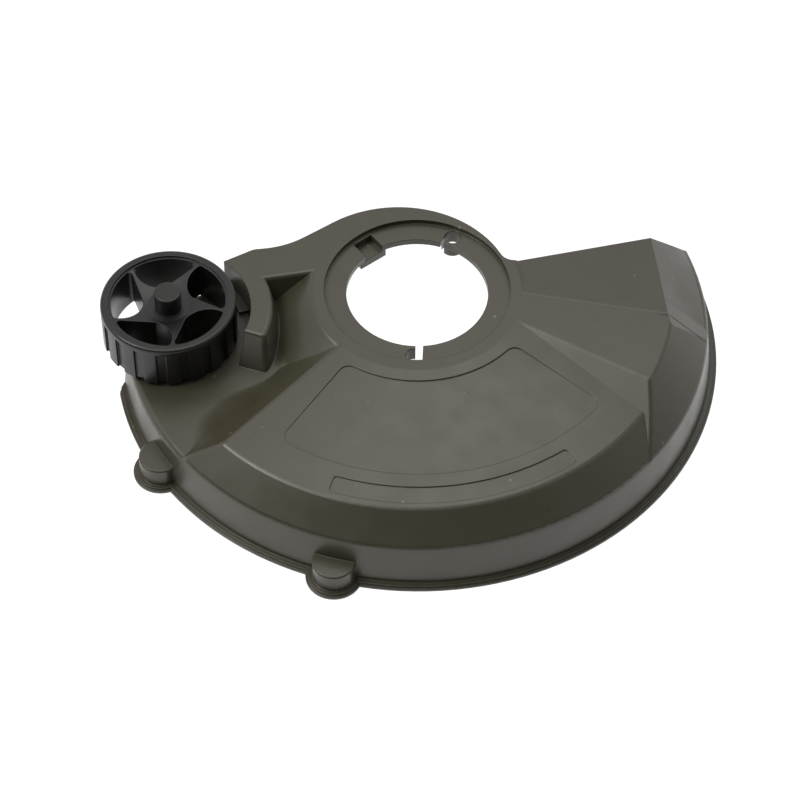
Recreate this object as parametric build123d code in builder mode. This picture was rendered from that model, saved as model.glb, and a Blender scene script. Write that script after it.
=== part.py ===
from build123d import *
import os
from math import acos, asin, atan2, cos, degrees, hypot, radians, sin, tan

# Trimmer guard with an edging wheel, in millimetres.
# Z is the axis of the trimmer head, and Z = 0 is the face that the head seats on.
# The wheel stands out along -X, and the covered side of the guard looks along -Y.

# Seat for the trimmer head
bore_radius = 40.0
seat_radius = 52.5
seat_depth = 3.0
ring_thickness = 4.0
hub_radius = 60.0

# Moulded shell
wall = 2.6
skirt_foot_radius = 168.5
skirt_draft = 3.5
shoulder_height = -20.7
rim_height = -49.0
slope_width = 17.0
ridge_height = -7.0
shelf_inner_radius = 86.0
shelf_inner_height = -17.5
form_depth = 12.0
form_step = 0.04
shoulder_round = 4.0
hub_round = 5.0
shelf_round = 12.0
ridge_round = 4.0

# Flank between the covered sector and the low shelf
flank_angle = -142.0
flank_lean = 53.0
sector_end_angle = -24.0

# Raised block at the open end of the guard
block_slope_width = 21.5
block_edge_start = (53.4, -30.1)
block_edge_angle = -36.9
block_lean = 55.5
crease_start = (58.3, -9.7)
crease_angle = -16.94
crease_end_gap = 2.32
crease_fall = 2.6
end_fold_angle = 92.67
end_lean = 45.5
end_foot_angle = -13.2
end_foot_span = 30.0
end_inner_x = 100.0
end_inner_y = 45.0
end_start = 0.5
end_sink = 0.05
end_hollow_shift = 0.5
end_hollow_drop = 1.5
block_round = 2.5

# Back edge of the deck
back_centre = (-10.5, -1.0)
back_radius = 64.6
back_slope = 28.8
open_edge_offset = 7.5
open_edge_slope = 7.9
open_edge_round = 8.0
end_edge_x = 137.4
end_edge_slope = 18.5
waist_y = 39.3
waist_round = 50.0
wing_tip_x = -89.0
wing_tip_round = 8.0
lip_depth = 8.0
outline_reach = 205.0

# Edging wheel and its axle
wheel_offset = 139.8
wheel_radius = 37.9
wheel_bottom = -17.5
wheel_width = 27.3
tread_round = 1.8
rim_step = 1.2
barrel_radius = 32.0
hub_face_radius = 12.0
dish_depth = 4.6
underside_recess = 2.0
wheel_hub_radius = 9.0
spoke_count = 5
spoke_angle = -18.5
spoke_tip_width = 2.0
gap_corner = (14.2, -52.0)
gap_crown = (18.5, -20.5)
gap_round = 2.0
groove_count = 18
groove_width = 5.4
groove_depth = 1.4
groove_top_gap = 4.0
axle_radius = 4.0
axle_head_radius = 7.5
axle_head_height = 11.2
axle_head_round = 0.8
axle_clearance = 0.1
wheel_end_clearance = 0.4

# Wheel fence: the wing and the arm round the wheel
fence_radius = 46.0
fence_width = 12.0
fence_draft = 12.0
fence_front_angle = -27.0
fence_ramp_lean = 22.0
fence_ramp_span = 20.0
fence_back_angle = 43.9
fence_round = 2.5
wing_front = (-57.9, 18.6)
wing_corner = (-81.6, 16.8)
wing_right_x = 56.0
pad_inner_radius = 40.5
pad_front_angle = 12.5
pad_height = 4.5

# Axle boss under the wheel
lug_radius = 20.0
rim_end_angle = -174.8
rim_end_span = 8.0
rim_end_round = 8.0
boss_radius = 8.5
boss_bottom = -27.0
socket_depth = 2.5
socket_clearance = 0.05
screw_radius = 1.7
screw_length = 19.0
screw_head_radius = 4.0
screw_head_height = 2.6
screw_clearance = 0.5
pilot_clearance = 0.05
pilot_depth = 14.0
drive_width = 3.2
drive_depth = 1.4
washer_radius = 5.5
washer_thickness = 1.0

# Rim flange and the two screw towers
flange_width = 3.6
flange_thickness = 2.8
flange_step = 1.3
tower_angles = (-153.8, -111.8)
tower_set_in = 0.3
tower_radius = 12.0
tower_top = -34.5
tower_bevel = 0.7
tower_post_radius = 4.2
tower_pilot_radius = 1.6
tower_pilot_depth = 11.0
tower_post_offset = 3.2

# Screw holes and key way of the seat
hole_angles = (57.7, -98.7)
hole_circle = 46.6
seat_hole_radius = 4.7
seat_boss_radius = 6.4
seat_boss_depth = 9.0
slit_widths = (2.0, 4.2)
slit_offsets = (3.7, 2.75)
slit_reaches = (0.0, 3.7)
key_angle = 122.0
key_width = 12.5
key_outer_radius = 50.5
key_depth = 5.0
key_block_depth = 10.0

# Shallow recesses of the deck
panel_middle_angle = -87.9
panel_half_angle = 44.6
panel_inner_radius = 66.8
panel_outer_radius = 126.5
panel_depth = 0.8
panel_far_depth = 0.3
panel_round = 6.0
plate_middle_angle = -87.7
plate_half_angle = 28.0
plate_inner_radius = 134.5
plate_outer_radius = 144.5
plate_depth = 0.6
plate_round = 2.0

# Stiffening ribs under the deck
rib_angles = (-125.0, -90.0, -55.0, -20.0)
rib_thickness = 2.0
rib_outer_radius = 140.0

# Worked out from the sizes above
shoulder_radius = skirt_foot_radius - skirt_draft
ridge_radius = shoulder_radius - slope_width
block_radius = shoulder_radius - block_slope_width
tower_centre_radius = skirt_foot_radius - tower_set_in
axle_centre = (-wheel_offset, 0.0)
wheel_top = wheel_bottom + wheel_width
hub_face = wheel_top - dish_depth
axle_head_bottom = hub_face + wheel_end_clearance
boss_top = wheel_bottom - wheel_end_clearance
socket_floor = boss_top - socket_depth
form_bottom = rim_height - form_depth
deck_fall = (seat_depth - ridge_height) / (ridge_radius - hub_radius)
shelf_fall = (shelf_inner_height - shoulder_height) / (shoulder_radius - shelf_inner_radius)
shelf_level = shelf_inner_height - shelf_fall * (wheel_offset - shelf_inner_radius)


def polar(radius, angle, centre=(0.0, 0.0)):
    """Point at a radius and an angle about a centre."""
    return (centre[0] + radius * cos(radians(angle)), centre[1] + radius * sin(radians(angle)))


def radial_plane(centre, angle):
    """Upright plane through an axis, with its first direction at an angle."""
    return Plane((*centre, 0), x_dir=(*polar(1, angle), 0), z_dir=(*polar(1, angle - 90), 0))


def line_on_circle(start, angle, radius, centre=(0.0, 0.0)):
    """Where a line from a point inside a circle, at an angle, meets the circle."""
    along = Vector(*polar(1, angle))
    away = Vector(start[0] - centre[0], start[1] - centre[1])
    reach = -away.dot(along)
    reach += (reach**2 - away.dot(away) + radius**2) ** 0.5
    return polar(reach, angle, start)


def flank(start, end, lean):
    """Plane through a top edge, leaning out to the right of the way from start to end."""
    along = (Vector(*end) - Vector(*start)).normalized()
    out = along.cross(Vector(0, 0, 1)).normalized()
    up = out.cross(along)
    return Plane(start, x_dir=along, z_dir=out * cos(radians(lean)) + up * sin(radians(lean)))


def turned(outline, rounds, inset):
    """Body of revolution of an outline of radius and height, with some corners rounded."""
    with BuildPart() as body:
        with BuildSketch(Plane.XZ) as section:
            with BuildLine():
                Polyline(*outline, close=True)
            make_face()
            for corner, radius in rounds:
                fillet(section.vertices().sort_by_distance(corner)[0], radius)
            if inset:
                offset(amount=-inset, kind=Kind.INTERSECTION)
        revolve(axis=Axis.Z)
    return body.part


def low_form(inset):
    """Hub, low shelf and skirt."""
    hub_edge = (hub_radius, seat_depth)
    shelf_edge = (shelf_inner_radius, shelf_inner_height)
    shoulder = (shoulder_radius, shoulder_height)
    slope = (skirt_foot_radius - shoulder_radius) / (shoulder_height - rim_height)
    foot = (skirt_foot_radius + slope * form_depth, form_bottom)
    outline = [(0, form_bottom), foot, shoulder, shelf_edge, hub_edge, (0, seat_depth)]
    rounds = [(shoulder, shoulder_round), (shelf_edge, shelf_round), (hub_edge, hub_round)]
    return turned(outline, rounds, inset)


def sector_form(inset):
    """Covered sector: a gently falling deck, a ridge and a slope down to the skirt."""
    hub_edge = (hub_radius, seat_depth)
    ridge = (ridge_radius, ridge_height)
    shoulder = (shoulder_radius - form_step, shoulder_height)
    slope = (skirt_foot_radius - shoulder_radius) / (shoulder_height - rim_height)
    foot = (skirt_foot_radius - form_step + slope * form_depth, form_bottom)
    outline = [(0, form_bottom), foot, shoulder, ridge, hub_edge, (0, seat_depth)]
    edge_start = (*polar(hub_radius, flank_angle), seat_depth)
    edge_end = (*polar(ridge_radius, flank_angle), ridge_height)
    with BuildPart() as sector:
        add(turned(outline, [(shoulder, shoulder_round)], inset))
        split(bisect_by=flank(edge_start, edge_end, flank_lean).offset(-inset), keep=Keep.BOTTOM)
        if not inset:
            fillet(sector.edges().sort_by_distance(edge_end)[:3], ridge_round)
        split(bisect_by=radial_plane((0, 0), sector_end_angle), keep=Keep.TOP)
    return sector.part


def block_form(inset):
    """Raised block at the open end, with a folded top and a slanted end."""
    block_edge = (block_radius, seat_depth)
    shoulder = (shoulder_radius, shoulder_height)
    slope = (skirt_foot_radius - shoulder_radius) / (shoulder_height - rim_height)
    foot = (skirt_foot_radius + slope * form_depth, form_bottom)
    outline = [(0, form_bottom), foot, shoulder, block_edge, (0, seat_depth)]
    block_edge_end = line_on_circle(block_edge_start, block_edge_angle, block_radius)
    crease_end = line_on_circle(crease_start, crease_angle, block_radius - crease_end_gap)
    fold_end = polar(end_foot_span, end_fold_angle, crease_end)
    inner_edge = flank((*block_edge_start, seat_depth), (*block_edge_end, seat_depth), block_lean)
    back_fold = flank((*crease_end, seat_depth), (*crease_start, seat_depth), 90 - crease_fall)
    end_fold = flank((*crease_end, seat_depth), (*fold_end, seat_depth), end_lean)
    with BuildPart() as block:
        add(turned(outline, [(shoulder, shoulder_round)], inset))
        split(bisect_by=inner_edge.offset(-inset), keep=Keep.BOTTOM)
        if not inset:
            fillet(block.edges().sort_by_distance((*block_edge_end, seat_depth))[:3], block_round)
        split(bisect_by=back_fold.offset(-inset), keep=Keep.BOTTOM)
        split(bisect_by=end_fold.offset(-inset), keep=Keep.BOTTOM)
    return block.part


def end_form(inset):
    """Slanted end of the block, from its straight top edge out to the round shoulder."""
    crease_end = line_on_circle(crease_start, crease_angle, block_radius - crease_end_gap)
    top_start = polar(end_start, end_fold_angle, crease_end)
    top_far = polar(end_inner_y - top_start[1], end_fold_angle, top_start)
    top_inner = (end_inner_x, top_start[1])
    top_back = (end_inner_x, end_inner_y)
    back_fold = flank((*crease_end, seat_depth), (*crease_start, seat_depth), 90 - crease_fall)
    with BuildPart() as end:
        with BuildSketch(Plane.XY.offset(seat_depth)):
            with BuildLine():
                top_edge = Line(top_start, top_far)
                Polyline(top_edge @ 1, top_back, top_inner, top_edge @ 0)
            make_face()
        with BuildSketch(Plane.XY.offset(shoulder_height - shoulder_round / 2)):
            with BuildLine():
                foot = CenterArc((0, 0), shoulder_radius, end_foot_angle, end_foot_span)
                Polyline(foot @ 1, top_back, top_inner, foot @ 0)
            make_face()
        loft(ruled=True)
        split(bisect_by=back_fold.offset(-end_sink), keep=Keep.BOTTOM)
    return end.part.moved(Location((-end_hollow_shift * inset, 0, -end_hollow_drop * inset)))


def fence_form(inset):
    """Back deck with its wing, and the arm round the wheel."""
    axle_line = Axis((*axle_centre, 0), (0, 0, 1))
    arm_outer = fence_radius + fence_width
    arm_foot = arm_outer + (seat_depth - form_bottom) * tan(radians(fence_draft))
    arm_edge = (arm_outer, seat_depth)
    arm_start = fence_front_angle - fence_ramp_span
    ramp_start = (*polar(fence_radius, fence_front_angle, axle_centre), seat_depth)
    ramp_end = (*polar(arm_outer, fence_front_angle, axle_centre), seat_depth)
    far_y = back_centre[1] + back_radius + fence_width
    with BuildPart() as arm:
        with BuildSketch(radial_plane(axle_centre, arm_start)) as section:
            with BuildLine():
                Polyline(
                    (fence_radius, form_bottom),
                    (arm_foot, form_bottom),
                    arm_edge,
                    (fence_radius, seat_depth),
                    close=True,
                )
            make_face()
            fillet(section.vertices().sort_by_distance(arm_edge)[0], fence_round)
            if inset:
                offset(amount=-inset, kind=Kind.INTERSECTION)
        revolve(axis=axle_line, revolution_arc=fence_back_angle + fence_ramp_span - arm_start)
        ramp = flank(ramp_start, ramp_end, fence_ramp_lean)
        split(bisect_by=ramp.offset(-inset), keep=Keep.BOTTOM)
        if not inset:
            fillet(arm.faces().filter_by(ramp).edges().group_by(Axis.Z)[-1], fence_round)
    with BuildPart() as wing:
        with BuildSketch(Plane.XY.offset(form_bottom)):
            with BuildLine():
                Polyline(
                    (-wheel_offset, 0),
                    (wing_right_x, 0),
                    (wing_right_x, far_y),
                    (-wheel_offset, far_y),
                    close=True,
                )
            make_face()
            with Locations(axle_centre):
                Circle(fence_radius + fence_width / 2, mode=Mode.SUBTRACT)
        extrude(amount=seat_depth - inset - form_bottom)
        front = flank((*wing_corner, seat_depth), (*wing_front, seat_depth), fence_draft)
        split(bisect_by=front.offset(-inset), keep=Keep.BOTTOM)
        if not inset:
            fillet(wing.faces().filter_by(front).edges().group_by(Axis.Z)[-1], fence_round)
        add(arm.part)
    return wing.part


def whole_form(inset):
    """The whole moulded form, or the hollow inside it."""
    with BuildPart() as form:
        add(low_form(inset))
        add(sector_form(inset))
        add(block_form(inset))
        add(end_form(inset))
        add(fence_form(inset))
    return form.part


def flange_outline(wall_radius, inner_radius):
    """Outline of the stepped flange round a wall's foot."""
    edge = wall_radius + flange_width
    step_height = rim_height + flange_thickness - flange_step
    return [
        (inner_radius, rim_height),
        (edge, rim_height),
        (edge, step_height),
        (edge - flange_step, step_height),
        (edge - flange_step, rim_height + flange_thickness),
        (inner_radius, rim_height + flange_thickness),
    ]


def tower_outline():
    """Outline of a screw tower, with its top edge bevelled."""
    return [
        (0, rim_height),
        (tower_radius, rim_height),
        (tower_radius, tower_top - tower_bevel),
        (tower_radius - tower_bevel, tower_top),
        (0, tower_top),
    ]


def tangent_point(point, centre, radius, side):
    """Where a line from a point touches a circle, on the left (1) or the right (-1)."""
    away = hypot(point[0] - centre[0], point[1] - centre[1])
    bearing = degrees(atan2(point[1] - centre[1], point[0] - centre[0]))
    return polar(radius, bearing + side * degrees(acos(radius / away)), centre)


def guard_plan():
    """Plan of the guard: open edge, back arc, waist, wing, wheel lug and round to the rim."""
    open_bend = (end_edge_x, open_edge_offset + end_edge_x * tan(radians(open_edge_slope)))
    open_far = polar(outline_reach - end_edge_x, end_edge_slope, open_bend)
    open_near = line_on_circle((0, open_edge_offset), open_edge_slope, back_radius, back_centre)
    back_end = polar(back_radius, 90 + back_slope, back_centre)
    waist = (back_end[0] - (back_end[1] - waist_y) / tan(radians(back_slope)), waist_y)
    wing_tip = (wing_tip_x, waist_y)
    fence_end = polar(fence_radius, fence_back_angle, axle_centre)
    lug_start = tangent_point(fence_end, axle_centre, lug_radius, 1)
    rim_radius = skirt_foot_radius + flange_width
    rim_end = polar(rim_radius, rim_end_angle)
    rim_side = polar(rim_radius / cos(radians(rim_end_span)), rim_end_angle + rim_end_span)
    rim_far = polar(outline_reach, rim_end_angle + rim_end_span)
    lug_end = tangent_point(rim_end, axle_centre, lug_radius, -1)
    lug_chord = Vector(*lug_start) + Vector(*lug_end) - 2 * Vector(*axle_centre)
    lug_middle = polar(lug_radius, degrees(atan2(lug_chord.Y, lug_chord.X)), axle_centre)
    with BuildSketch() as plan:
        with BuildLine():
            Polyline(open_far, open_bend, open_near)
            ThreePointArc(open_near, polar(back_radius, 90, back_centre), back_end)
            Polyline(back_end, waist, wing_tip, fence_end, lug_start)
            ThreePointArc(lug_start, lug_middle, lug_end)
            Polyline(lug_end, rim_end, rim_side, rim_far)
            ThreePointArc(rim_far, (0, -outline_reach), open_far)
        make_face()
        corners = (open_near, waist, wing_tip, rim_end)
        for corner, radius in zip(corners, (open_edge_round, waist_round, wing_tip_round, rim_end_round)):
            fillet(plan.vertices().sort_by_distance(corner)[0], radius)
    return plan.sketch


def sector_plan(inner, outer, middle, half, corner_round):
    """Ring sector with rounded corners."""
    ends = (middle - half, middle + half)
    with BuildSketch() as plan:
        with BuildLine():
            ThreePointArc(polar(inner, ends[0]), polar(inner, middle), polar(inner, ends[1]))
            Line(polar(inner, ends[1]), polar(outer, ends[1]))
            ThreePointArc(polar(outer, ends[1]), polar(outer, middle), polar(outer, ends[0]))
            Line(polar(outer, ends[0]), polar(inner, ends[0]))
        make_face()
        fillet(plan.vertices(), corner_round)
    return plan.sketch


def deck_recess(plan, depth, far_radius, far_depth):
    """What a shallow recess takes out of the covered sector's deck."""
    fall = deck_fall + (far_depth - depth) / (far_radius - hub_radius)
    low_end = seat_depth - depth - fall * (outline_reach - hub_radius)
    floor = [
        (0, form_bottom),
        (outline_reach, form_bottom),
        (outline_reach, low_end),
        (hub_radius, seat_depth - depth),
        (0, seat_depth - depth),
    ]
    with BuildPart() as recess:
        with BuildSketch(Plane.XY.offset(form_bottom)):
            add(plan)
        extrude(amount=seat_depth - form_bottom)
        add(turned(floor, [], 0.0), mode=Mode.SUBTRACT)
    return recess.part


def wheel_gap():
    """Opening between two spokes: one side straight, the other swept round to the next spoke."""
    half_tip = degrees(asin(spoke_tip_width / 2 / barrel_radius))
    straight_end = polar(barrel_radius, spoke_angle - 360 / spoke_count + half_tip)
    swept_end = polar(barrel_radius, spoke_angle - half_tip)
    with BuildSketch() as gap:
        with BuildLine():
            Line(straight_end, polar(*gap_corner))
            ThreePointArc(polar(*gap_corner), polar(*gap_crown), swept_end)
            ThreePointArc(swept_end, polar(barrel_radius, spoke_angle - 180 / spoke_count), straight_end)
        make_face()
        fillet(gap.vertices(), gap_round)
    return gap.sketch


outer_form = whole_form(0.0)

# Lip along the back edge and ribs under the deck
with BuildPart() as stiffeners:
    add(outer_form)
    with BuildSketch(Plane.XY.offset(rim_height)):
        add(guard_plan())
        offset(amount=-wall, mode=Mode.SUBTRACT)
        for angle in rib_angles:
            with Locations(Location((*polar((seat_radius + rib_outer_radius) / 2, angle), 0), angle)):
                Rectangle(rib_outer_radius - seat_radius, rib_thickness)
    extrude(amount=seat_depth - rim_height, mode=Mode.INTERSECT)
    add(outer_form.moved(Location((0, 0, -lip_depth))), mode=Mode.SUBTRACT)

# Guard shell
with BuildPart() as guard_shell:
    add(outer_form)
    # Stepped flange round the rim
    add(turned(flange_outline(skirt_foot_radius, skirt_foot_radius - wall / 2), [], 0.0))
    # Half-round towers, with the flange carried round their feet
    for angle in tower_angles:
        tower_foot = Location((*polar(tower_centre_radius, angle), 0))
        add(turned(tower_outline(), [], 0.0).moved(tower_foot))
        add(turned(flange_outline(tower_radius, 0.0), [], 0.0).moved(tower_foot))
    add(whole_form(wall), mode=Mode.SUBTRACT)
    # Towers are hollow round a screw post
    for angle in tower_angles:
        post_centre = polar(tower_centre_radius + tower_post_offset, angle)
        with BuildSketch(Plane((*polar(tower_centre_radius, angle), rim_height))):
            Circle(tower_radius - wall)
        extrude(amount=tower_top - wall - rim_height, mode=Mode.SUBTRACT)
        with BuildSketch(Plane((*post_centre, tower_top - wall / 2))):
            Circle(tower_post_radius)
        extrude(amount=rim_height + flange_thickness - tower_top)
        with BuildSketch(Plane((*post_centre, rim_height))):
            Circle(tower_pilot_radius)
        extrude(amount=tower_pilot_depth, mode=Mode.SUBTRACT)
    # Seat ring with its screw bosses and the block under the key way
    with BuildSketch(Plane.XY.offset(-ring_thickness)):
        Circle(seat_radius + wall)
    extrude(amount=ring_thickness + seat_depth)
    for angle in hole_angles:
        with BuildSketch(Plane((*polar(hole_circle, angle), -seat_boss_depth))):
            Circle(seat_boss_radius)
        extrude(amount=seat_boss_depth)
    key_middle = (bore_radius + key_outer_radius + wall) / 2
    key_way = (*polar(1, key_angle), 0)
    with BuildSketch(Plane((*polar(key_middle, key_angle), -key_block_depth), x_dir=key_way)):
        Rectangle(key_outer_radius + wall - bore_radius, key_width + 2 * wall)
    extrude(amount=key_block_depth)
    # Axle boss and the pad beside the fence
    with BuildSketch(Plane((*axle_centre, boss_bottom))):
        Circle(boss_radius)
    extrude(amount=boss_top - boss_bottom)
    with BuildSketch(radial_plane(axle_centre, pad_front_angle)):
        pad_width = fence_radius + wall / 2 - pad_inner_radius
        with Locations((pad_inner_radius, shelf_level - wall / 2)):
            Rectangle(pad_width, pad_height + wall / 2, align=(Align.MIN, Align.MIN))
    revolve(axis=Axis((*axle_centre, 0), (0, 0, 1)), revolution_arc=fence_back_angle - pad_front_angle)
    # Cut to the plan
    with BuildSketch(Plane.XY.offset(rim_height)):
        add(guard_plan())
    extrude(amount=seat_depth - rim_height, mode=Mode.INTERSECT)
    add(stiffeners.part)
    # Recess, bore, screw holes with their slits, and key way
    with BuildSketch(Plane.XY):
        Circle(seat_radius)
    extrude(amount=seat_depth, mode=Mode.SUBTRACT)
    with BuildSketch(Plane.XY.offset(rim_height)):
        Circle(bore_radius)
    extrude(amount=seat_depth - rim_height, mode=Mode.SUBTRACT)
    for angle, width, side, reach in zip(hole_angles, slit_widths, slit_offsets, slit_reaches):
        outward = (*polar(1, angle), 0)
        with BuildSketch(Plane((*polar(hole_circle, angle), -seat_boss_depth), x_dir=outward)):
            Circle(seat_hole_radius)
            with Locations((reach, side)):
                Rectangle(hole_circle, width, align=(Align.MAX, Align.CENTER))
        extrude(amount=seat_boss_depth, mode=Mode.SUBTRACT)
    with BuildSketch(Plane((*polar(key_outer_radius, key_angle), -key_depth), x_dir=key_way)):
        Rectangle(key_outer_radius, key_width, align=(Align.MAX, Align.CENTER))
    extrude(amount=key_depth, mode=Mode.SUBTRACT)
    # Label panel and plate
    panel_span = (panel_middle_angle, panel_half_angle)
    panel_plan = sector_plan(panel_inner_radius, panel_outer_radius, *panel_span, panel_round)
    add(deck_recess(panel_plan, panel_depth, panel_outer_radius, panel_far_depth), mode=Mode.SUBTRACT)
    plate_span = (plate_middle_angle, plate_half_angle)
    plate_plan = sector_plan(plate_inner_radius, plate_outer_radius, *plate_span, plate_round)
    add(deck_recess(plate_plan, plate_depth, plate_outer_radius, plate_depth), mode=Mode.SUBTRACT)
    # Axle socket and screw hole
    with BuildSketch(Plane((*axle_centre, socket_floor))):
        Circle(axle_radius + socket_clearance)
    extrude(amount=socket_depth, mode=Mode.SUBTRACT)
    with BuildSketch(Plane((*axle_centre, boss_bottom))):
        Circle(screw_radius + screw_clearance)
    extrude(amount=socket_floor - boss_bottom, mode=Mode.SUBTRACT)
guard_shell.part.label = "guard_shell"

# Edging wheel
with BuildPart() as edging_wheel:
    tread_edge = (wheel_radius, wheel_top)
    with BuildSketch(radial_plane(axle_centre, 0)) as wheel_section:
        with BuildLine():
            Polyline(
                (axle_radius + axle_clearance, wheel_bottom),
                (wheel_hub_radius, wheel_bottom),
                (wheel_hub_radius, wheel_bottom + underside_recess),
                (barrel_radius, wheel_bottom + underside_recess),
                (barrel_radius, wheel_bottom),
                (wheel_radius, wheel_bottom),
                tread_edge,
                (barrel_radius + rim_step, wheel_top),
                (barrel_radius + rim_step, wheel_top - rim_step),
                (barrel_radius, wheel_top - rim_step),
                (hub_face_radius, hub_face),
                (axle_radius + axle_clearance, hub_face),
                close=True,
            )
        make_face()
        fillet(wheel_section.vertices().sort_by_distance(tread_edge)[0], tread_round)
    revolve(axis=Axis((*axle_centre, 0), (0, 0, 1)))
    with BuildSketch(Plane((*axle_centre, wheel_bottom))):
        with PolarLocations(0, spoke_count):
            add(wheel_gap())
    extrude(amount=wheel_width, mode=Mode.SUBTRACT)
    with BuildSketch(Plane((*axle_centre, wheel_bottom))):
        with PolarLocations(wheel_radius, groove_count):
            Rectangle(2 * groove_depth, groove_width)
    extrude(amount=wheel_width - groove_top_gap, mode=Mode.SUBTRACT)
edging_wheel.part.label = "edging_wheel"

# Axle: a headed pin with a screw pilot in its end
with BuildPart() as wheel_axle:
    with BuildSketch(radial_plane(axle_centre, 0)):
        with BuildLine():
            Polyline(
                (0, socket_floor),
                (axle_radius, socket_floor),
                (axle_radius, axle_head_bottom),
                (axle_head_radius, axle_head_bottom),
                (axle_head_radius, axle_head_bottom + axle_head_height),
                (0, axle_head_bottom + axle_head_height),
                close=True,
            )
        make_face()
    revolve(axis=Axis((*axle_centre, 0), (0, 0, 1)))
    fillet(wheel_axle.edges().group_by(Axis.Z)[-1], axle_head_round)
    with BuildSketch(Plane((*axle_centre, socket_floor))):
        Circle(screw_radius + pilot_clearance)
    extrude(amount=pilot_depth, mode=Mode.SUBTRACT)
wheel_axle.part.label = "wheel_axle"

# Washer and screw under the axle boss
with BuildPart() as axle_washer:
    with BuildSketch(Plane((*axle_centre, boss_bottom))):
        Circle(washer_radius)
        Circle(screw_radius + screw_clearance, mode=Mode.SUBTRACT)
    extrude(amount=-washer_thickness)
axle_washer.part.label = "axle_washer"

with BuildPart() as axle_screw:
    head_top = boss_bottom - washer_thickness
    with BuildSketch(Plane((*axle_centre, head_top))):
        Circle(screw_head_radius)
    extrude(amount=-screw_head_height)
    with BuildSketch(Plane((*axle_centre, head_top))):
        Circle(screw_radius)
    extrude(amount=screw_length)
    with BuildSketch(Plane((*axle_centre, head_top - screw_head_height))):
        RegularPolygon(drive_width / 2, 6, major_radius=False)
    extrude(amount=drive_depth, mode=Mode.SUBTRACT)
axle_screw.part.label = "axle_screw"

os.makedirs("parts", exist_ok=True)
for piece in (guard_shell, edging_wheel, wheel_axle, axle_washer, axle_screw):
    export_step(piece.part, f"parts/{piece.part.label}.step")
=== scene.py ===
from math import cos, radians, sin, tan

import bpy
from mathutils import Matrix, Vector


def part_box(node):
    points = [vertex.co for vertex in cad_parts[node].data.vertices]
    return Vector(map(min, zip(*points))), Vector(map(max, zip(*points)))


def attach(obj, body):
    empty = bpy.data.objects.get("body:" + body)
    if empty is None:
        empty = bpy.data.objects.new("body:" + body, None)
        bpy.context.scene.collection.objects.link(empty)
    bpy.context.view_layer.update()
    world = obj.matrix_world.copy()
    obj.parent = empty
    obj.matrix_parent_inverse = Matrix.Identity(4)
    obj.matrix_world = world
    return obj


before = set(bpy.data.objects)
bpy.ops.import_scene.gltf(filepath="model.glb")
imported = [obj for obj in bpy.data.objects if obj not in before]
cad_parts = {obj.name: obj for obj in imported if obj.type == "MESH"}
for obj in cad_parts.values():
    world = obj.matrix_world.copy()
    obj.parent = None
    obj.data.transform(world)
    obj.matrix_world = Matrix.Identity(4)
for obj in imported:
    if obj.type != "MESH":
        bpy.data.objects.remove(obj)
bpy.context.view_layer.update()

bl_info = {
    "name": "Trimmer Guard",
    "version": (1, 0, 0),
    "blender": (4, 5, 0),
    "location": "View3D > Sidebar > Trimmer Guard",
    "description": "Dresses a string trimmer guard with its edging wheel and sets it on a pale stage",
    "category": "Object",
}

SHELL_LOW, SHELL_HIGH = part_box("guard_shell")

# Pattern of the moulded plastic: features per metre, and shares of the noise
CLOUDS_PER_METRE = 22
CLOUD_DETAIL = 5
SPECKS_PER_METRE = 170
SPECK_RARITY = 0.90
SPECK_REACH = 0.16
GRAIN_DETAIL = 3
SMEARS_PER_METRE = 65
SMEAR_DETAIL = 4
SMEAR_RANGE = (0.3, 0.7)
SMEAR_CHANGE = 0.05
GRAIN_STRENGTH = 0.5
EDGE_SAMPLES = 8

# Plated steel
MARKS_PER_METRE = 900
MARK_SHADE = 0.8
STEEL_ROUGHNESS = (0.25, 0.45)

# Flank of the shell: its direction from the head's axis, its slope,
# and the distances from its top edge at which the flank and the shelf are probed
FLANK_ANGLE = radians(-142)
FLANK_SLOPE = tan(radians(37.2))
FLANK_PROBE = 0.012
SHELF_PROBE = 0.0245

# Hollow at the flank's foot: radii where its two sides grow and fade, and its section
HOLLOW_START, HOLLOW_END = 0.078, 0.161
HOLLOW_FLANK_FULL, HOLLOW_FADE = 0.104, 0.138
SHELF_START, SHELF_FULL = 0.088, 0.124
HOLLOW_RINGS = 40
HOLLOW_POINTS = 16
HOLLOW_LEAST = 0.0004
HOLLOW_SINK = 0.00003
HOLLOW_KEEL = 0.0006
HOLLOW_CREASE = radians(40)

# Raised line along the fold of the end block, seen from above
FOLD_PATH = ((0.0583, -0.0097), (0.1371, -0.0337), (0.1600, -0.0374))
FOLD_CUTS = 8
FOLD_SIDES = 24
FOLD_SINK = 0.88

# Room: directions along Y between which it brightens, and the camera's sensor in millimetres
DIM_WAY, BRIGHT_WAY = -0.7, 0.3
SENSOR_WIDTH = 36


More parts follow.
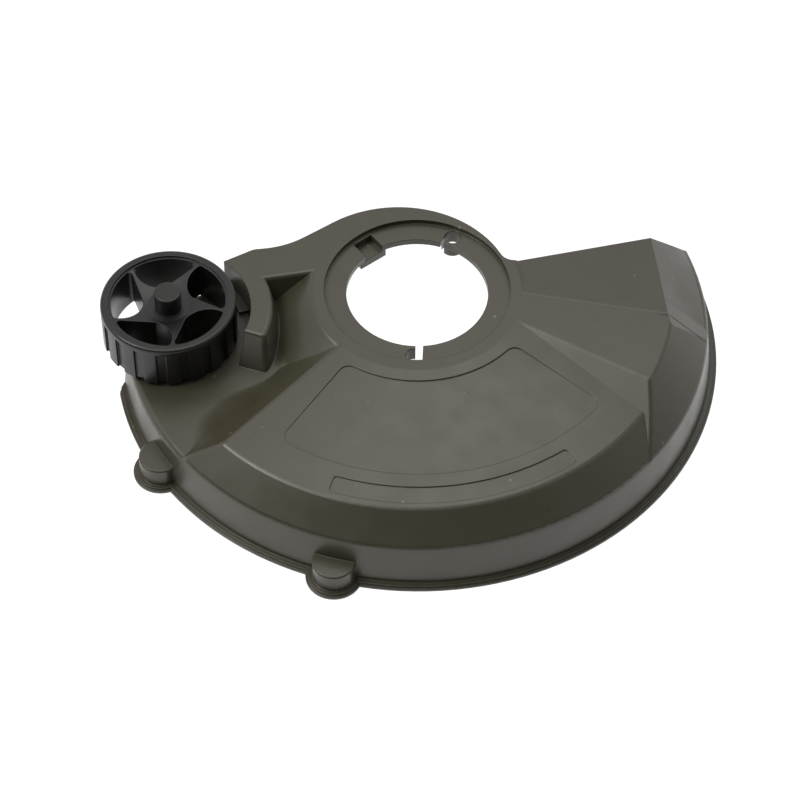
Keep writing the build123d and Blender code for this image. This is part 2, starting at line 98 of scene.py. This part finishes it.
class ShellLook(bpy.types.PropertyGroup):
    """Finish of the moulded shell."""

    colour: bpy.props.FloatVectorProperty(
        name="Colour", description="Colour of the moulded plastic",
        subtype="COLOR", size=3, min=0, max=1, default=(0.050, 0.046, 0.029))
    speck: bpy.props.FloatVectorProperty(
        name="Specks", description="Colour of the pale specks",
        subtype="COLOR", size=3, min=0, max=1, default=(0.30, 0.29, 0.25))
    speck_amount: bpy.props.FloatProperty(
        name="Speck amount", description="How strongly the specks show",
        subtype="FACTOR", min=0, max=1, default=0.35)
    mottle: bpy.props.FloatProperty(
        name="Mottle", description="Strength of the soft clouds in the colour",
        subtype="FACTOR", min=0, max=1, default=0.08)
    roughness: bpy.props.FloatProperty(
        name="Roughness", description="Roughness of the satin surface",
        subtype="FACTOR", min=0, max=1, default=0.32)
    gloss: bpy.props.FloatProperty(
        name="Gloss", description="Strength of the surface's reflection",
        subtype="FACTOR", min=0, max=1, default=0.62)
    grain: bpy.props.FloatProperty(
        name="Grain", description="Size of the moulded grain",
        unit="LENGTH", min=0.0001, default=0.0007)
    grain_height: bpy.props.FloatProperty(
        name="Grain height", description="Height of the moulded grain",
        unit="LENGTH", min=0, default=0.00006)


class WheelLook(bpy.types.PropertyGroup):
    """Finish of the edging wheel and its axle."""

    colour: bpy.props.FloatVectorProperty(
        name="Wheel colour", description="Colour of the wheel",
        subtype="COLOR", size=3, min=0, max=1, default=(0.010, 0.010, 0.010))
    axle_colour: bpy.props.FloatVectorProperty(
        name="Axle colour", description="Colour of the axle's cap",
        subtype="COLOR", size=3, min=0, max=1, default=(0.013, 0.0125, 0.012))
    speck: bpy.props.FloatVectorProperty(
        name="Specks", description="Colour of the pale specks",
        subtype="COLOR", size=3, min=0, max=1, default=(0.10, 0.10, 0.095))
    speck_amount: bpy.props.FloatProperty(
        name="Speck amount", description="How strongly the specks show",
        subtype="FACTOR", min=0, max=1, default=0.2)
    mottle: bpy.props.FloatProperty(
        name="Mottle", description="Strength of the soft clouds in the colour",
        subtype="FACTOR", min=0, max=1, default=0.2)
    roughness: bpy.props.FloatProperty(
        name="Roughness", description="Roughness of the wheel",
        subtype="FACTOR", min=0, max=1, default=0.32)
    gloss: bpy.props.FloatProperty(
        name="Gloss", description="Strength of the surface's reflection",
        subtype="FACTOR", min=0, max=1, default=0.5)
    grain: bpy.props.FloatProperty(
        name="Grain", description="Size of the moulded grain",
        unit="LENGTH", min=0.0001, default=0.0005)
    grain_height: bpy.props.FloatProperty(
        name="Grain height", description="Height of the moulded grain",
        unit="LENGTH", min=0, default=0.00005)
    steel: bpy.props.FloatVectorProperty(
        name="Steel", description="Colour of the plated washer and screw",
        subtype="COLOR", size=3, min=0, max=1, default=(0.56, 0.56, 0.55))


class EdgeLook(bpy.types.PropertyGroup):
    """Small moulded radii along the edges, and the fine forms on the shell."""

    shell_round: bpy.props.FloatProperty(
        name="Shell edge", description="Radius along the shell's edges",
        unit="LENGTH", min=0, default=0.0008)
    flank_hollow: bpy.props.FloatProperty(
        name="Flank hollow", description="Reach of the soft hollow to each side of the flank's foot",
        unit="LENGTH", min=0, default=0.0115)
    fold_bead: bpy.props.FloatProperty(
        name="Fold line", description="Radius of the raised line along the fold of the end block",
        unit="LENGTH", min=0, default=0.0016)
    wheel_round: bpy.props.FloatProperty(
        name="Wheel edge", description="Radius along the wheel's edges",
        unit="LENGTH", min=0, default=0.0008)


class StageLook(bpy.types.PropertyGroup):
    """Floor, lamps and camera."""

    floor_colour: bpy.props.FloatVectorProperty(
        name="Floor", description="Colour of the floor",
        subtype="COLOR", size=3, min=0, max=1, default=(0.88, 0.88, 0.88))
    floor_size: bpy.props.FloatProperty(
        name="Floor size", description="Length of the floor's sides",
        unit="LENGTH", min=1, default=40)
    floor_gap: bpy.props.FloatProperty(
        name="Floor gap", description="Gap between the floor and the rim",
        unit="LENGTH", min=0, default=0.0001)
    floor_lift: bpy.props.FloatProperty(
        name="Floor whiteness", description="How far the seen floor is lifted to white",
        subtype="FACTOR", min=0, max=1, default=0.9)
    floor_glow: bpy.props.FloatProperty(
        name="Floor glow", description="Brightness of the white that the seen floor is lifted to",
        min=0, default=1.15)
    front_light: bpy.props.FloatProperty(
        name="Front", description="Brightness of the room on the camera's side", min=0, default=0.09)
    back_light: bpy.props.FloatProperty(
        name="Back", description="Brightness of the room behind the part", min=0, default=0.75)
    key_power: bpy.props.FloatProperty(
        name="Key lamp", description="Power of the large lamp overhead",
        unit="POWER", min=0, default=10)
    key_place: bpy.props.FloatVectorProperty(
        name="Key place", description="Place of the large lamp",
        subtype="TRANSLATION", size=3, default=(-0.2, 0.2, 1.6))
    lamp_colour: bpy.props.FloatVectorProperty(
        name="Lamp colour", description="Colour of the lamps",
        subtype="COLOR", size=3, min=0, max=1, default=(1.0, 0.965, 0.9))
    side_power: bpy.props.FloatProperty(
        name="Side lamp", description="Power of the lamp on the wheel's side",
        unit="POWER", min=0, default=11)
    side_place: bpy.props.FloatVectorProperty(
        name="Side place", description="Place of the lamp on the wheel's side",
        subtype="TRANSLATION", size=3, default=(-1.2, -0.02, 1.55))
    side_size: bpy.props.FloatVectorProperty(
        name="Side size", description="Width and height of the side lamp",
        subtype="XYZ_LENGTH", size=2, default=(0.55, 0.6))
    key_size: bpy.props.FloatVectorProperty(
        name="Key size", description="Width and depth of the large lamp",
        subtype="XYZ_LENGTH", size=2, default=(2.3, 0.8))
    camera_place: bpy.props.FloatVectorProperty(
        name="Camera place", description="Place of the camera",
        subtype="TRANSLATION", size=3, default=(-0.1359, -1.1105, 1.2661))
    camera_turn: bpy.props.FloatProperty(
        name="Camera turn", description="Turn of the camera about the head's axis",
        subtype="ANGLE", default=radians(-6.5))
    camera_elevation: bpy.props.FloatProperty(
        name="Camera elevation", description="How far the camera looks down",
        subtype="ANGLE", default=radians(50.6))
    camera_roll: bpy.props.FloatProperty(
        name="Camera roll", description="Roll of the camera",
        subtype="ANGLE", default=radians(0.33))
    lens: bpy.props.FloatProperty(
        name="Lens", description="Focal length in millimetres", subtype="DISTANCE_CAMERA", default=135)


class GuardSettings(bpy.types.PropertyGroup):
    """Sizes and colours of the dressed guard."""

    shell: bpy.props.PointerProperty(name="Shell", description="Finish of the shell", type=ShellLook)
    wheel: bpy.props.PointerProperty(name="Wheel", description="Finish of the wheel", type=WheelLook)
    edges: bpy.props.PointerProperty(name="Edges", description="Radii along the edges", type=EdgeLook)
    stage: bpy.props.PointerProperty(name="Stage", description="Floor, lamps and camera", type=StageLook)


def link_chain(tree, *pairs):
    """Links output sockets to input sockets."""
    for start, end in pairs:
        tree.links.new(start, end)


def moulded_finish():
    """Shader group of a moulded plastic: soft mottling, pale specks and a fine grain."""
    name = "Moulded finish"
    if name in bpy.data.node_groups:
        return bpy.data.node_groups[name]
    tree = bpy.data.node_groups.new(name, "ShaderNodeTree")
    for label, kind in (
        ("Colour", "NodeSocketColor"),
        ("Speck colour", "NodeSocketColor"),
        ("Speck amount", "NodeSocketFloat"),
        ("Mottle", "NodeSocketFloat"),
        ("Roughness", "NodeSocketFloat"),
        ("Grains per metre", "NodeSocketFloat"),
    ):
        tree.interface.new_socket(label, in_out="INPUT", socket_type=kind)
    for label, kind in (
        ("Colour", "NodeSocketColor"),
        ("Roughness", "NodeSocketFloat"),
        ("Height", "NodeSocketFloat"),
    ):
        tree.interface.new_socket(label, in_out="OUTPUT", socket_type=kind)
    nodes = tree.nodes
    inputs = nodes.new("NodeGroupInput")
    outputs = nodes.new("NodeGroupOutput")
    place = nodes.new("ShaderNodeTexCoord")

    cloud = nodes.new("ShaderNodeTexNoise")
    cloud.inputs["Scale"].default_value = CLOUDS_PER_METRE
    cloud.inputs["Detail"].default_value = CLOUD_DETAIL
    shift = nodes.new("ShaderNodeMath")
    shift.operation = "MULTIPLY_ADD"
    shift.inputs[2].default_value = 1
    centred = nodes.new("ShaderNodeMath")
    centred.operation = "SUBTRACT"
    centred.inputs[1].default_value = 0.5
    mottled = nodes.new("ShaderNodeVectorMath")
    mottled.operation = "SCALE"

    speck = nodes.new("ShaderNodeTexVoronoi")
    speck.inputs["Scale"].default_value = SPECKS_PER_METRE
    size = nodes.new("ShaderNodeSeparateColor")
    rare = nodes.new("ShaderNodeMath")
    rare.operation = "MULTIPLY"
    reach = nodes.new("ShaderNodeMapRange")
    reach.inputs["From Min"].default_value = SPECK_RARITY
    reach.inputs["From Max"].default_value = 1
    reach.inputs["To Min"].default_value = 0
    reach.inputs["To Max"].default_value = SPECK_REACH
    near = nodes.new("ShaderNodeMath")
    near.operation = "LESS_THAN"
    dusted = nodes.new("ShaderNodeMix")
    dusted.data_type = "RGBA"

    grain = nodes.new("ShaderNodeTexNoise")
    grain.inputs["Detail"].default_value = GRAIN_DETAIL
    smear = nodes.new("ShaderNodeTexNoise")
    smear.inputs["Scale"].default_value = SMEARS_PER_METRE
    smear.inputs["Detail"].default_value = SMEAR_DETAIL
    worn = nodes.new("ShaderNodeMapRange")
    worn.inputs["From Min"].default_value = SMEAR_RANGE[0]
    worn.inputs["From Max"].default_value = SMEAR_RANGE[1]
    worn.inputs["To Min"].default_value = -SMEAR_CHANGE
    worn.inputs["To Max"].default_value = SMEAR_CHANGE
    rough = nodes.new("ShaderNodeMath")
    rough.operation = "ADD"

    link_chain(
        tree,
        (place.outputs["Object"], cloud.inputs["Vector"]),
        (place.outputs["Object"], speck.inputs["Vector"]),
        (place.outputs["Object"], grain.inputs["Vector"]),
        (place.outputs["Object"], smear.inputs["Vector"]),
        (inputs.outputs["Grains per metre"], grain.inputs["Scale"]),
        (cloud.outputs["Fac"], centred.inputs[0]),
        (centred.outputs[0], shift.inputs[0]),
        (inputs.outputs["Mottle"], shift.inputs[1]),
        (inputs.outputs["Colour"], mottled.inputs[0]),
        (shift.outputs[0], mottled.inputs["Scale"]),
        (speck.outputs["Color"], size.inputs["Color"]),
        (size.outputs[0], reach.inputs["Value"]),
        (speck.outputs["Distance"], near.inputs[0]),
        (reach.outputs[0], near.inputs[1]),
        (near.outputs[0], rare.inputs[0]),
        (inputs.outputs["Speck amount"], rare.inputs[1]),
        (rare.outputs[0], dusted.inputs["Factor"]),
        (mottled.outputs[0], dusted.inputs["A"]),
        (inputs.outputs["Speck colour"], dusted.inputs["B"]),
        (dusted.outputs["Result"], outputs.inputs["Colour"]),
        (smear.outputs["Fac"], worn.inputs["Value"]),
        (worn.outputs[0], rough.inputs[0]),
        (inputs.outputs["Roughness"], rough.inputs[1]),
        (rough.outputs[0], outputs.inputs["Roughness"]),
        (grain.outputs["Fac"], outputs.inputs["Height"]),
    )
    return tree


def plastic(name, look, colour, edge_round):
    """Moulded plastic with the pattern of a look, in one colour and with soft edges."""
    material = bpy.data.materials.new(name)
    material.use_nodes = True
    tree = material.node_tree
    shader = tree.nodes["Principled BSDF"]
    shader.inputs["Specular IOR Level"].default_value = look.gloss
    finish = tree.nodes.new("ShaderNodeGroup")
    finish.node_tree = moulded_finish()
    finish.inputs["Colour"].default_value = (*colour, 1)
    finish.inputs["Speck colour"].default_value = (*look.speck, 1)
    finish.inputs["Speck amount"].default_value = look.speck_amount
    finish.inputs["Mottle"].default_value = look.mottle
    finish.inputs["Roughness"].default_value = look.roughness
    finish.inputs["Grains per metre"].default_value = 1 / look.grain
    soft_edge = tree.nodes.new("ShaderNodeBevel")
    soft_edge.samples = EDGE_SAMPLES
    soft_edge.inputs["Radius"].default_value = edge_round
    bump = tree.nodes.new("ShaderNodeBump")
    bump.inputs["Strength"].default_value = GRAIN_STRENGTH
    bump.inputs["Distance"].default_value = look.grain_height
    link_chain(
        tree,
        (finish.outputs["Colour"], shader.inputs["Base Color"]),
        (finish.outputs["Roughness"], shader.inputs["Roughness"]),
        (finish.outputs["Height"], bump.inputs["Height"]),
        (soft_edge.outputs["Normal"], bump.inputs["Normal"]),
        (bump.outputs["Normal"], shader.inputs["Normal"]),
    )
    return material


def plated_steel(name, colour):
    """Plated steel with faint turning marks."""
    material = bpy.data.materials.new(name)
    material.use_nodes = True
    tree = material.node_tree
    shader = tree.nodes["Principled BSDF"]
    shader.inputs["Metallic"].default_value = 1
    place = tree.nodes.new("ShaderNodeTexCoord")
    marks = tree.nodes.new("ShaderNodeTexNoise")
    marks.inputs["Scale"].default_value = MARKS_PER_METRE
    tint = tree.nodes.new("ShaderNodeMix")
    tint.data_type = "RGBA"
    tint.inputs["A"].default_value = (*(MARK_SHADE * part for part in colour), 1)
    tint.inputs["B"].default_value = (*colour, 1)
    rough = tree.nodes.new("ShaderNodeMapRange")
    rough.inputs["To Min"].default_value = STEEL_ROUGHNESS[0]
    rough.inputs["To Max"].default_value = STEEL_ROUGHNESS[1]
    link_chain(
        tree,
        (place.outputs["Object"], marks.inputs["Vector"]),
        (marks.outputs["Fac"], tint.inputs["Factor"]),
        (tint.outputs["Result"], shader.inputs["Base Color"]),
        (marks.outputs["Fac"], rough.inputs["Value"]),
        (rough.outputs[0], shader.inputs["Roughness"]),
    )
    return material


def dress(node, material):
    """Gives a CAD node its finish."""
    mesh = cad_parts[node].data
    mesh.materials.clear()
    mesh.materials.append(material)


class GUARD_OT_shell(bpy.types.Operator):
    """Dress the moulded shell."""

    bl_idname = "trimmer_guard.shell"
    bl_label = "Shell"

    def execute(self, context):
        settings = context.scene.trimmer_guard
        look = settings.shell
        dress("guard_shell", plastic("shell_plastic", look, look.colour, settings.edges.shell_round))
        return {"FINISHED"}


def ease(value, start, end):
    """Soft step from 0 at the start to 1 at the end."""
    share = min(max((value - start) / (end - start), 0), 1)
    return share * share * (3 - 2 * share)


def flank_spot(radius, side, height):
    """Place beside the flank's top edge, given by its radius, its distance from the edge and its height."""
    outward = Vector((cos(FLANK_ANGLE), sin(FLANK_ANGLE), 0))
    across = Vector((sin(FLANK_ANGLE), -cos(FLANK_ANGLE), 0))
    return outward * radius + across * side + Vector((0, 0, height))


def shell_height(radius, side):
    """Height of the shell's upper surface beside the flank's top edge."""
    above = flank_spot(radius, side, SHELL_HIGH.z)
    found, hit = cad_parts["guard_shell"].ray_cast(above, (0, 0, -1))[:2]
    if not found:
        raise RuntimeError("the hollow leaves the shell")
    return hit.z


def hollow_ring(radius, reach):
    """Closed section of the hollow: a soft curve from the flank to the shelf over a small keel."""
    floor = shell_height(radius, SHELF_PROBE)
    foot = FLANK_PROBE + (shell_height(radius, FLANK_PROBE) - floor) / FLANK_SLOPE
    reach *= ease(radius, HOLLOW_END, HOLLOW_FADE)
    upper = max(HOLLOW_LEAST, reach * ease(radius, HOLLOW_START, HOLLOW_FLANK_FULL))
    lower = max(HOLLOW_LEAST, reach * ease(radius, SHELF_START, SHELF_FULL))
    ring = [flank_spot(radius, foot, floor - HOLLOW_KEEL)]
    for point in range(HOLLOW_POINTS + 1):
        share = point / HOLLOW_POINTS
        side = foot - upper * (1 - share) ** 2 + lower * share**2
        rise = upper * FLANK_SLOPE * (1 - share) ** 2
        ring.append(flank_spot(radius, side, floor + rise - HOLLOW_SINK))
    return ring


class GUARD_OT_flank_hollow(bpy.types.Operator):
    """Make the soft hollow where the flank runs out onto the low shelf."""

    bl_idname = "trimmer_guard.flank_hollow"
    bl_label = "Flank hollow"

    def execute(self, context):
        settings = context.scene.trimmer_guard
        look = settings.shell
        step = (HOLLOW_END - HOLLOW_START) / HOLLOW_RINGS
        rings = [hollow_ring(HOLLOW_START + step * ring, settings.edges.flank_hollow)
                 for ring in range(HOLLOW_RINGS + 1)]
        around = len(rings[0])
        last = HOLLOW_RINGS * around
        faces = [(ring * around + spot, ring * around + (spot + 1) % around,
                  (ring + 1) * around + (spot + 1) % around, (ring + 1) * around + spot)
                 for ring in range(HOLLOW_RINGS) for spot in range(around)]
        faces += [tuple(range(around))[::-1], tuple(range(last, last + around))]
        mesh = bpy.data.meshes.new("flank_hollow")
        mesh.from_pydata([spot for ring in rings for spot in ring], [], faces)
        mesh.shade_smooth()
        mesh.set_sharp_from_angle(angle=HOLLOW_CREASE)
        mesh.materials.append(plastic("hollow_plastic", look, look.colour, 0))
        hollow = bpy.data.objects.new("flank_hollow", mesh)
        context.scene.collection.objects.link(hollow)
        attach(hollow, "guard")
        return {"FINISHED"}


def bead_on_surface():
    """Geometry Nodes tree of a round bead along a path that is dropped onto a surface."""
    tree = bpy.data.node_groups.new("Bead on a surface", "GeometryNodeTree")
    for label, kind in (
        ("Path", "NodeSocketGeometry"),
        ("Surface", "NodeSocketObject"),
        ("Radius", "NodeSocketFloat"),
        ("Sunk share", "NodeSocketFloat"),
        ("Cuts", "NodeSocketInt"),
        ("Sides", "NodeSocketInt"),
        ("Material", "NodeSocketMaterial"),
    ):
        tree.interface.new_socket(label, in_out="INPUT", socket_type=kind)
    tree.interface.new_socket("Bead", in_out="OUTPUT", socket_type="NodeSocketGeometry")
    nodes = tree.nodes
    inputs = nodes.new("NodeGroupInput")
    outputs = nodes.new("NodeGroupOutput")
    route = nodes.new("GeometryNodeMeshToCurve")
    finer = nodes.new("GeometryNodeSubdivideCurve")
    surface = nodes.new("GeometryNodeObjectInfo")
    surface.transform_space = "RELATIVE"
    drop = nodes.new("GeometryNodeRaycast")
    drop.inputs["Ray Direction"].default_value = (0, 0, -1)
    depth = nodes.new("ShaderNodeMath")
    depth.operation = "MULTIPLY"
    sunk = nodes.new("ShaderNodeVectorMath")
    sunk.operation = "SCALE"
    seat = nodes.new("ShaderNodeVectorMath")
    seat.operation = "SUBTRACT"
    laid = nodes.new("GeometryNodeSetPosition")
    section = nodes.new("GeometryNodeCurvePrimitiveCircle")
    bead = nodes.new("GeometryNodeCurveToMesh")
    bead.inputs["Fill Caps"].default_value = True
    smooth = nodes.new("GeometryNodeSetShadeSmooth")
    real = nodes.new("GeometryNodeRealizeInstances")
    finish = nodes.new("GeometryNodeSetMaterial")
    link_chain(
        tree,
        (inputs.outputs["Path"], route.inputs["Mesh"]),
        (route.outputs["Curve"], finer.inputs["Curve"]),
        (inputs.outputs["Cuts"], finer.inputs["Cuts"]),
        (inputs.outputs["Surface"], surface.inputs["Object"]),
        (surface.outputs["Geometry"], drop.inputs["Target Geometry"]),
        (inputs.outputs["Radius"], depth.inputs[0]),
        (inputs.outputs["Sunk share"], depth.inputs[1]),
        (drop.outputs["Hit Normal"], sunk.inputs[0]),
        (depth.outputs[0], sunk.inputs["Scale"]),
        (drop.outputs["Hit Position"], seat.inputs[0]),
        (sunk.outputs[0], seat.inputs[1]),
        (finer.outputs["Curve"], laid.inputs["Geometry"]),
        (drop.outputs["Is Hit"], laid.inputs["Selection"]),
        (seat.outputs[0], laid.inputs["Position"]),
        (inputs.outputs["Radius"], section.inputs["Radius"]),
        (inputs.outputs["Sides"], section.inputs["Resolution"]),
        (laid.outputs["Geometry"], bead.inputs["Curve"]),
        (section.outputs["Curve"], bead.inputs["Profile Curve"]),
        (bead.outputs["Mesh"], smooth.inputs["Geometry"]),
        (smooth.outputs["Geometry"], real.inputs["Geometry"]),
        (real.outputs["Geometry"], finish.inputs["Geometry"]),
        (inputs.outputs["Material"], finish.inputs["Material"]),
        (finish.outputs["Geometry"], outputs.inputs["Bead"]),
    )
    return tree


class GUARD_OT_fold_line(bpy.types.Operator):
    """Make the fine raised line along the fold of the end block."""

    bl_idname = "trimmer_guard.fold_line"
    bl_label = "Fold line"

    def execute(self, context):
        settings = context.scene.trimmer_guard
        above = SHELL_HIGH.z + settings.edges.fold_bead
        path = bpy.data.meshes.new("fold_path")
        path.from_pydata([(*place, above) for place in FOLD_PATH], [(0, 1), (1, 2)], [])
        holder = bpy.data.objects.new("fold_path", path)
        context.scene.collection.objects.link(holder)
        modifier = holder.modifiers.new("Bead on a surface", "NODES")
        modifier.node_group = bead_on_surface()
        sizes = {
            "Surface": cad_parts["guard_shell"],
            "Radius": settings.edges.fold_bead,
            "Sunk share": FOLD_SINK,
            "Cuts": FOLD_CUTS,
            "Sides": FOLD_SIDES,
            "Material": bpy.data.materials["shell_plastic"],
        }
        for socket in modifier.node_group.interface.items_tree:
            if socket.in_out == "INPUT" and socket.name in sizes:
                modifier[socket.identifier] = sizes[socket.name]
        mesh = bpy.data.meshes.new_from_object(holder.evaluated_get(context.evaluated_depsgraph_get()))
        bpy.data.objects.remove(holder)
        mesh.name = "fold_line"
        line = bpy.data.objects.new("fold_line", mesh)
        context.scene.collection.objects.link(line)
        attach(line, "guard")
        return {"FINISHED"}


class GUARD_OT_wheel(bpy.types.Operator):
    """Dress the edging wheel."""

    bl_idname = "trimmer_guard.wheel"
    bl_label = "Edging wheel"

    def execute(self, context):
        settings = context.scene.trimmer_guard
        look = settings.wheel
        dress("edging_wheel", plastic("wheel_plastic", look, look.colour, settings.edges.wheel_round))
        return {"FINISHED"}


class GUARD_OT_axle(bpy.types.Operator):
    """Dress the axle with its cap."""

    bl_idname = "trimmer_guard.axle"
    bl_label = "Axle"

    def execute(self, context):
        settings = context.scene.trimmer_guard
        look = settings.wheel
        dress("wheel_axle", plastic("axle_plastic", look, look.axle_colour, settings.edges.wheel_round))
        return {"FINISHED"}


class GUARD_OT_fasteners(bpy.types.Operator):
    """Dress the washer and the screw under the axle."""

    bl_idname = "trimmer_guard.fasteners"
    bl_label = "Washer and screw"

    def execute(self, context):
        settings = context.scene.trimmer_guard
        finish = plated_steel("fastener_steel", settings.wheel.steel)
        for node in ("axle_washer", "axle_screw"):
            dress(node, finish)
        return {"FINISHED"}


def pale_floor(colour, lift, glow):
    """Floor that is seen and mirrored as white, throws light back like a matt one and is clear from below."""
    material = bpy.data.materials.new("pale_floor")
    material.use_nodes = True
    material.cycles.emission_sampling = "NONE"
    tree = material.node_tree
    tree.nodes.clear()
    output = tree.nodes.new("ShaderNodeOutputMaterial")
    matt = tree.nodes.new("ShaderNodeBsdfDiffuse")
    matt.inputs["Color"].default_value = (*colour, 1)
    white = tree.nodes.new("ShaderNodeEmission")
    white.inputs["Strength"].default_value = glow
    seen = tree.nodes.new("ShaderNodeLightPath")
    glossy = tree.nodes.new("ShaderNodeMath")
    glossy.operation = "MAXIMUM"
    clear = tree.nodes.new("ShaderNodeMath")
    clear.operation = "MAXIMUM"
    share = tree.nodes.new("ShaderNodeMath")
    share.operation = "MULTIPLY"
    share.inputs[1].default_value = lift
    blend = tree.nodes.new("ShaderNodeMixShader")
    side = tree.nodes.new("ShaderNodeNewGeometry")
    below = tree.nodes.new("ShaderNodeBsdfTransparent")
    one_sided = tree.nodes.new("ShaderNodeMixShader")
    link_chain(
        tree,
        (seen.outputs["Is Camera Ray"], glossy.inputs[0]),
        (seen.outputs["Is Glossy Ray"], glossy.inputs[1]),
        (glossy.outputs[0], clear.inputs[0]),
        (seen.outputs["Is Transmission Ray"], clear.inputs[1]),
        (clear.outputs[0], share.inputs[0]),
        (share.outputs[0], blend.inputs["Fac"]),
        (matt.outputs[0], blend.inputs[1]),
        (white.outputs[0], blend.inputs[2]),
        (side.outputs["Backfacing"], one_sided.inputs["Fac"]),
        (blend.outputs[0], one_sided.inputs[1]),
        (below.outputs[0], one_sided.inputs[2]),
        (one_sided.outputs[0], output.inputs["Surface"]),
    )
    return material


def studio_world(front, back):
    """Room that is dim on the camera's side, bright behind, and white where it is seen."""
    world = bpy.data.worlds.new("studio")
    world.use_nodes = True
    tree = world.node_tree
    tree.nodes.clear()
    output = tree.nodes.new("ShaderNodeOutputWorld")
    place = tree.nodes.new("ShaderNodeTexCoord")
    way = tree.nodes.new("ShaderNodeSeparateXYZ")
    level = tree.nodes.new("ShaderNodeMapRange")
    level.interpolation_type = "SMOOTHSTEP"
    level.inputs["From Min"].default_value = DIM_WAY
    level.inputs["From Max"].default_value = BRIGHT_WAY
    level.inputs["To Min"].default_value = front
    level.inputs["To Max"].default_value = back
    room = tree.nodes.new("ShaderNodeBackground")
    white = tree.nodes.new("ShaderNodeBackground")
    white.inputs["Color"].default_value = (1, 1, 1, 1)
    seen = tree.nodes.new("ShaderNodeLightPath")
    clear = tree.nodes.new("ShaderNodeMath")
    clear.operation = "MAXIMUM"
    blend = tree.nodes.new("ShaderNodeMixShader")
    room.inputs["Color"].default_value = (1, 1, 1, 1)
    link_chain(
        tree,
        (place.outputs["Generated"], way.inputs[0]),
        (way.outputs["Y"], level.inputs["Value"]),
        (level.outputs[0], room.inputs["Strength"]),
        (seen.outputs["Is Camera Ray"], clear.inputs[0]),
        (seen.outputs["Is Transmission Ray"], clear.inputs[1]),
        (clear.outputs[0], blend.inputs["Fac"]),
        (room.outputs[0], blend.inputs[1]),
        (white.outputs[0], blend.inputs[2]),
        (blend.outputs[0], output.inputs["Surface"]),
    )
    return world


def area_lamp(name, place, size, power, colour):
    """Large soft lamp that looks at the head's axis."""
    lamp = bpy.data.lights.new(name, "AREA")
    lamp.shape = "RECTANGLE"
    lamp.size, lamp.size_y = size
    lamp.energy = power
    lamp.color = colour
    holder = bpy.data.objects.new(name, lamp)
    holder.location = place
    holder.rotation_euler = (-Vector(place)).to_track_quat("-Z", "Y").to_euler()
    bpy.context.scene.collection.objects.link(holder)
    return holder


class GUARD_OT_stage(bpy.types.Operator):
    """Set up the floor, the lamps and the camera."""

    bl_idname = "trimmer_guard.stage"
    bl_label = "Stage"

    def execute(self, context):
        scene = context.scene
        look = scene.trimmer_guard.stage
        half = look.floor_size / 2
        mesh = bpy.data.meshes.new("floor")
        level = SHELL_LOW.z - look.floor_gap
        corners = [(-half, -half, level), (half, -half, level), (half, half, level), (-half, half, level)]
        mesh.from_pydata(corners, [], [(0, 1, 2, 3)])
        mesh.materials.append(pale_floor(look.floor_colour, look.floor_lift, look.floor_glow))
        floor = bpy.data.objects.new("floor", mesh)
        scene.collection.objects.link(floor)

        scene.world = studio_world(look.front_light, look.back_light)
        area_lamp("key_lamp", look.key_place, look.key_size, look.key_power, look.lamp_colour)
        area_lamp("side_lamp", look.side_place, look.side_size, look.side_power, look.lamp_colour)

        turn, elevation, roll = look.camera_turn, look.camera_elevation, look.camera_roll
        level_right = Vector((cos(turn), sin(turn), 0))
        back = Vector((sin(turn) * cos(elevation), -cos(turn) * cos(elevation), sin(elevation)))
        level_up = back.cross(level_right)
        right = level_right * cos(roll) + level_up * sin(roll)
        up = level_up * cos(roll) - level_right * sin(roll)
        camera = bpy.data.cameras.new("camera")
        camera.lens = look.lens
        camera.sensor_width = SENSOR_WIDTH
        holder = bpy.data.objects.new("camera", camera)
        pose = Matrix((right, up, back)).transposed().to_4x4()
        pose.translation = look.camera_place
        holder.matrix_world = pose
        scene.collection.objects.link(holder)
        scene.camera = holder
        scene.view_settings.view_transform = "Standard"
        return {"FINISHED"}


class GUARD_PT_panel(bpy.types.Panel):
    """Lists the pieces of the guard in the sidebar."""

    bl_idname = "GUARD_PT_panel"
    bl_label = "Trimmer Guard"
    bl_space_type = "VIEW_3D"
    bl_region_type = "UI"
    bl_category = "Trimmer Guard"

    def draw(self, context):
        settings = context.scene.trimmer_guard
        for operator in OPERATORS:
            self.layout.operator(operator.bl_idname)
        for group in (settings.shell, settings.wheel, settings.edges, settings.stage):
            box = self.layout.box()
            for name in group.__annotations__:
                box.prop(group, name)


OPERATORS = (
    GUARD_OT_stage,
    GUARD_OT_shell,
    GUARD_OT_flank_hollow,
    GUARD_OT_fold_line,
    GUARD_OT_wheel,
    GUARD_OT_axle,
    GUARD_OT_fasteners,
)
CLASSES = (ShellLook, WheelLook, EdgeLook, StageLook, GuardSettings, *OPERATORS, GUARD_PT_panel)


def register():
    """Registers the classes and hangs the settings on the scene."""
    for item in CLASSES:
        bpy.utils.register_class(item)
    bpy.types.Scene.trimmer_guard = bpy.props.PointerProperty(
        name="Trimmer guard", description="Sizes and colours of the dressed guard", type=GuardSettings)


def unregister():
    """Takes the settings off the scene and unregisters the classes."""
    del bpy.types.Scene.trimmer_guard
    for item in reversed(CLASSES):
        bpy.utils.unregister_class(item)


def main():
    """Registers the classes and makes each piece."""
    register()
    bpy.ops.trimmer_guard.stage()
    bpy.ops.trimmer_guard.shell()
    bpy.ops.trimmer_guard.flank_hollow()
    bpy.ops.trimmer_guard.fold_line()
    bpy.ops.trimmer_guard.wheel()
    bpy.ops.trimmer_guard.axle()
    bpy.ops.trimmer_guard.fasteners()


if __name__ == "__main__":
    main()
